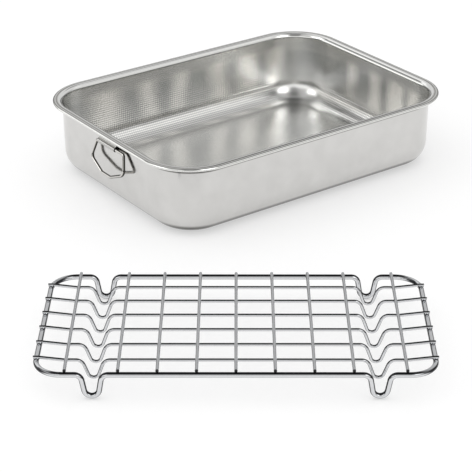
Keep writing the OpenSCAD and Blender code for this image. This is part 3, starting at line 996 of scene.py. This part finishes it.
def rack_wire(name, steps, start, heading, wire, end_round=None, dark_rings=0):
    """A wire given on the rack's own axes, turned and moved to where the rack stands.

    Only the closed frame bends sideways, so its level grows from 0 to 1 across each corner.
    """
    line, frames = wire_line(steps, start, heading)
    beyond = (np.abs(line[:, 0]) - frame_half) / FRAME_CORNER_RADIUS + 1
    level = np.clip(beyond, 0, 1) if end_round is None else None
    line = line @ rack_pose.T + [rack_x, rack_y, 0.0]
    frames = rack_pose @ frames
    finish = bar_finish if dark_rings else chrome_finish
    piece = wire_piece("chromed_" + name, line, frames, wire / 2, finish, end_round, level)
    if dark_rings:
        piece.data.materials.append(cut_and_dark_reflection_finish)
        slot = np.zeros(len(piece.data.polygons), dtype=np.int32)
        # The rings come first, from the near end on. The last two faces are the caps.
        # The near end's rings and cap get the painted dark reflection.
        slot[: dark_rings * ROUND_CUTS] = 1
        slot[-2] = 1
        piece.data.polygons.foreach_set("material_index", slot)
    finish_piece(piece, "rack", "rack_" + name)


print("frame of the rack:", 2 * frame_half + FRAME_WIRE, "x", FRAME_WIDTH + FRAME_WIRE, "mm")

# %% [markdown]
# The feet and the dips of the thin wires are the same bends at two sizes: down, round the
# bottom and up again. One function gives the steps and half of the width, so the straight
# stretches between two dips can be worked out from the pitch of the bars.

# %% Dips
def dip(depth, turn, top_bend, bottom_bend):
    """Steps of one dip: down, round the bottom and up again, and half of its width."""
    drop = (top_bend + bottom_bend) * (1 - cos(turn))
    side = (depth - drop) / sin(turn)
    half = (top_bend + bottom_bend) * sin(turn) + side * cos(turn)
    down = [(top_bend, turn, 0), (side, 0, 0)]
    return down + [(bottom_bend, 2 * turn, 180)] + down[::-1], half


foot, foot_half = dip(FOOT_HEIGHT, FOOT_TURN, FOOT_TOP_BEND, FOOT_BOTTOM_BEND)
notch, notch_half = dip(DIP_DEPTH, DIP_TURN, DIP_TOP_BEND, DIP_BOTTOM_BEND)
print("half widths of a foot and a notch:", round(foot_half, 1), round(notch_half, 1), "mm")

# %% Frame, thin wires and cross bars
side_half = frame_half - FRAME_CORNER_RADIUS
corner = [(FRAME_CORNER_RADIUS, 90, 90)]
to_foot = [(side_half - foot_x - foot_half, 0, 0)]
half_loop = to_foot + foot + [(2 * (foot_x - foot_half), 0, 0)] + foot + to_foot + corner
half_loop += [(FRAME_WIDTH - 2 * FRAME_CORNER_RADIUS, 0, 0)] + corner
start = [-side_half, -FRAME_WIDTH / 2, frame_z]
rack_wire("frame", half_loop * 2, start, along_rack, FRAME_WIRE)

long_half = notch + [(outer_bar_x + RISE_GAP - foot_x - notch_half, 0, 0)]
rise = long_end_z - long_z
rise_run = (rise - 2 * RISE_BEND * (1 - cos(RISE_TURN))) / sin(RISE_TURN)
rise_length = 2 * RISE_BEND * sin(RISE_TURN) + rise_run * cos(RISE_TURN)
long_half += [(RISE_BEND, RISE_TURN, 180), (rise_run, 0, 0), (RISE_BEND, RISE_TURN, 0)]
long_half += [(frame_half + FRAME_WIRE / 2 - outer_bar_x - RISE_GAP - rise_length, 0, 0)]
long_path = long_half[::-1] + [(2 * (foot_x - notch_half), 0, 0)] + long_half
for i in range(LONG_WIRE_COUNT):
    start = [-frame_half - FRAME_WIRE / 2, 0.0, long_end_z]
    start[1] = (i - (LONG_WIRE_COUNT - 1) / 2) * LONG_WIRE_PITCH
    rack_wire(f"long_wire_{i + 1}", long_path, start, along_rack, LONG_WIRE, LONG_WIRE_EDGE)

bar_length = FRAME_WIDTH + 2 * BAR_OVERHANG
across_rack = np.array([[0.0, 1.0, 0.0], [0.0, 0.0, 1.0], [1.0, 0.0, 0.0]])
for i, x in enumerate(bar_x):
    start = [x, -bar_length / 2, bar_z]
    steps = [(bar_length, 0, 0)]
    end_round = CROSS_WIRE / 2
    rack_wire(f"cross_bar_{i + 1}", steps, start, across_rack, CROSS_WIRE, end_round, DARK_RINGS)

# %% [markdown]
# ## Floor, studio and camera
# Polished metal shows the room more than itself. As its reflections tell, the photograph
# was taken on a white floor, in a room with dark parts and soft white boxes. The floor is
# a plain pale card. A card lit by lamps alone would turn grey away from them, so it also
# glows a little where the camera or a mirror image sees it.

# %% Floor
FLOOR_SIZE, FLOOR_DROP, FLOOR_POINTS = 1.8, 0.0004, 13
FLOOR_MIDDLE = (-0.05, -0.1)
FLOOR_GREY, FLOOR_GLOW = "BCBCBC", 0.52


def white_floor():
    """A flat grid under the object, a hair below its base so that the two never share a plane."""
    side = np.linspace(-FLOOR_SIZE / 2, FLOOR_SIZE / 2, FLOOR_POINTS)
    x, y = np.meshgrid(side + FLOOR_MIDDLE[0], side + FLOOR_MIDDLE[1])
    points = np.stack([x, y, np.full_like(x, -FLOOR_DROP)], axis=-1).reshape(-1, 3)
    normals = np.tile([0.0, 0.0, 1.0], (len(points), 1))
    material, tree = new_finish("white_studio_card")
    path = add(tree, "ShaderNodeLightPath").outputs
    seen = path["Is Camera Ray"]
    for kind in ("Is Glossy Ray", "Is Transmission Ray"):
        seen = add(tree, "ShaderNodeMath", [seen, path[kind]], operation="MAXIMUM").outputs[0]
    lit = add(tree, "ShaderNodeMath", [seen, FLOOR_GLOW], operation="MULTIPLY").outputs[0]
    card = add(tree, "ShaderNodeBsdfDiffuse", {"Color": linear(FLOOR_GREY)})
    glow = add(tree, "ShaderNodeEmission", {"Color": linear("FFFFFF"), "Strength": lit})
    both = add(tree, "ShaderNodeAddShader", [card.outputs[0], glow.outputs[0]])
    add(tree, "ShaderNodeOutputMaterial", {"Surface": both.outputs[0]})
    faces = grid_faces(FLOOR_POINTS, FLOOR_POINTS).tolist()
    return fill_mesh("floor", points, faces, normals, [material])


floor = white_floor()
floor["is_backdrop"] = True
print("floor points:", len(floor.data.vertices))

# %% [markdown]
# The camera was fitted to the corners of the dish's rim and base in the photo, by trying
# places and lenses until their images met. It stands far off with a long lens, which is
# why the dish's far side looks hardly smaller than its near side.

# %% Camera
VIEW_PITCH, VIEW_TURN = 26.972, -36.0425
CAMERA_PLACE = (-927.226, -1255.635, 707.138)
LENS, SENSOR, CLIP_END = 125.85, 36.0, 100.0
camera_data = bpy.data.cameras.new("camera")
camera_data.lens, camera_data.sensor_width = LENS, SENSOR
camera_data.clip_end = CLIP_END
camera = bpy.data.objects.new("camera", camera_data)
camera.location = [c * MM for c in CAMERA_PLACE]
camera.rotation_euler = [math.radians(a) for a in (90 - VIEW_PITCH, 0.0, VIEW_TURN)]
bpy.context.scene.collection.objects.link(camera)
bpy.context.scene.camera = camera
print("camera looks down by", VIEW_PITCH, "degrees")

# %% [markdown]
# The room could be built of real walls and lamps, or be one photo of a studio. Here the
# world paints it as soft patches, which is quick to render and easy to change. It shows in
# mirror images only. A wall patch is placed by its bearing, which is 0 behind the camera and
# positive to the right, and by its climb above the horizon. A roof patch is placed by how
# far it lies aside of the camera, and how far over from the horizon behind it.

# %% Directions in the room
world = bpy.data.worlds.new("studio")
world.use_nodes = True
bpy.context.scene.world = world
room = world.node_tree
room.nodes.clear()

ray = add(room, "ShaderNodeTexCoord").outputs["Generated"]
inputs = {"Vector": ray, "Angle": math.radians(-VIEW_TURN)}
turned = add(room, "ShaderNodeVectorRotate", inputs, rotation_type="Z_AXIS").outputs[0]
split = add(room, "ShaderNodeSeparateXYZ", [turned]).outputs
back = add(room, "ShaderNodeMath", [split["Y"], -1.0], operation="MULTIPLY").outputs[0]
angles = []
for operation, values in (
    ("ARCTAN2", [split["X"], back]),
    ("ARCSINE", [split["Z"]]),
    ("ARCSINE", [split["X"]]),
    ("ARCTAN2", [split["Z"], back]),
):
    angle = add(room, "ShaderNodeMath", values, operation=operation).outputs[0]
    angles.append(add(room, "ShaderNodeMath", [angle], operation="DEGREES").outputs[0])
bearing, climb, aside, over = angles
print("the room is turned with the camera, by", VIEW_TURN, "degrees")

# %% Room that the metal mirrors
GROUND_LEVEL = 0.68
# A patch is its middle, half size and soft edge in degrees, across and upright, and its level.
WALL_PATCHES = {
    "dark room, low": ((0, 180, 1), (-4, 13, 5), 0.15),
    "right windows": ((75, 28, 8), (34, 13, 5), 1.0),
    "left windows": ((-110, 28, 8), (27, 12, 5), 1.05),
    "left low window": ((-100, 14, 5), (11, 6, 3), 1.8),
    "back windows": ((0, 45, 12), (21, 9, 3), 1.4),
    "bright window, right": ((42, 16, 4), (41, 10, 4), 3.2),
    "bright window, left": ((-74, 17, 4), (38, 10, 4), 3.2),
}
ROOF_PATCHES = {
    "dark beam, right": ((11, 6, 3), (134, 7, 3), 0.25),
    "dark beam, left": ((-43, 8, 4), (119, 6, 4), 0.15),
    "left roof box": ((-21, 9, 2), (135, 7, 3), 0.95),
    "dark strip": ((0, 9, 3), (88, 30, 3), 0.2),
    "grey strip": ((0, 9, 3), (42, 15, 4), 0.38),
    "dim ceiling overhead": ((0, 9, 3), (90, 5, 3), 0.4),
}
level = GROUND_LEVEL
for across, upright, patches in ((bearing, climb, WALL_PATCHES), (aside, over, ROOF_PATCHES)):
    for across_part, upright_part, patch_level in patches.values():
        shape = [window(room, across, *across_part), window(room, upright, *upright_part)]
        shape = add(room, "ShaderNodeMath", shape, operation="MULTIPLY").outputs[0]
        change = add(room, "ShaderNodeMath", [patch_level, level], operation="SUBTRACT").outputs[0]
        change = [shape, change, level]
        level = add(room, "ShaderNodeMath", change, operation="MULTIPLY_ADD").outputs[0]
print("patches in the room:", len(WALL_PATCHES) + len(ROOF_PATCHES))

# %% [markdown]
# A light path node tells what a ray is for. Rays from the metal find the painted room,
# rays that light the floor find an even fill, and the camera itself finds plain white, as
# behind a product photo.

# %% World
ROOM_FILL = 0.97
white = linear("FFFFFF")
strengths = {"mirrored": level, "fill": ROOM_FILL, "seen": 1.0}
kinds = {
    use: add(room, "ShaderNodeBackground", {"Strength": strength, "Color": white}).outputs[0]
    for use, strength in strengths.items()
}
path = add(room, "ShaderNodeLightPath").outputs
mirrored = [path["Is Glossy Ray"], path["Is Transmission Ray"]]
mirrored = add(room, "ShaderNodeMath", mirrored, operation="MAXIMUM").outputs[0]
lit = add(room, "ShaderNodeMixShader", [mirrored, kinds["fill"], kinds["mirrored"]]).outputs[0]
background = add(room, "ShaderNodeMixShader", [path["Is Camera Ray"], lit, kinds["seen"]])
add(room, "ShaderNodeOutputWorld", {"Surface": background.outputs[0]})
print("nodes in the room:", len(room.nodes))

# %% [markdown]
# One large, soft lamp from the left gives the shadow its side. A small or strong one would
# draw hard shadows of the rack's wires. The metal does not mirror the lamp itself, because
# the painted room already holds the windows. The view transform stays Standard, so the
# hex colours come out as they are written.

# %% Key lamp and view
KEY_PLACE, KEY_SIZE, KEY_POWER = (-1.3, 0.7, 1.9), 2.0, 5.0
key_data = bpy.data.lights.new("key", "AREA")
key_data.size, key_data.energy = KEY_SIZE, KEY_POWER
key = bpy.data.objects.new("key", key_data)
key.location = KEY_PLACE
aim = -np.array(KEY_PLACE) / np.linalg.norm(KEY_PLACE)
key.rotation_euler = (math.acos(-aim[2]), 0.0, math.atan2(-aim[0], aim[1]))
key.visible_glossy = False
bpy.context.scene.collection.objects.link(key)
bpy.context.scene.view_settings.view_transform = "Standard"
print("key lamp is", round(float(np.linalg.norm(KEY_PLACE)), 2), "m from the middle")

# %% [markdown]
# ## Sizes, and the end
# The dressed object has to fill the same box as the solids. The difference of the two boxes
# is printed.

scene_low, scene_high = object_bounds()
differences = [round((b - a) / MM, 2) for a, b in zip(solid_high, scene_high)]
print("difference of the boxes, mm:", differences)
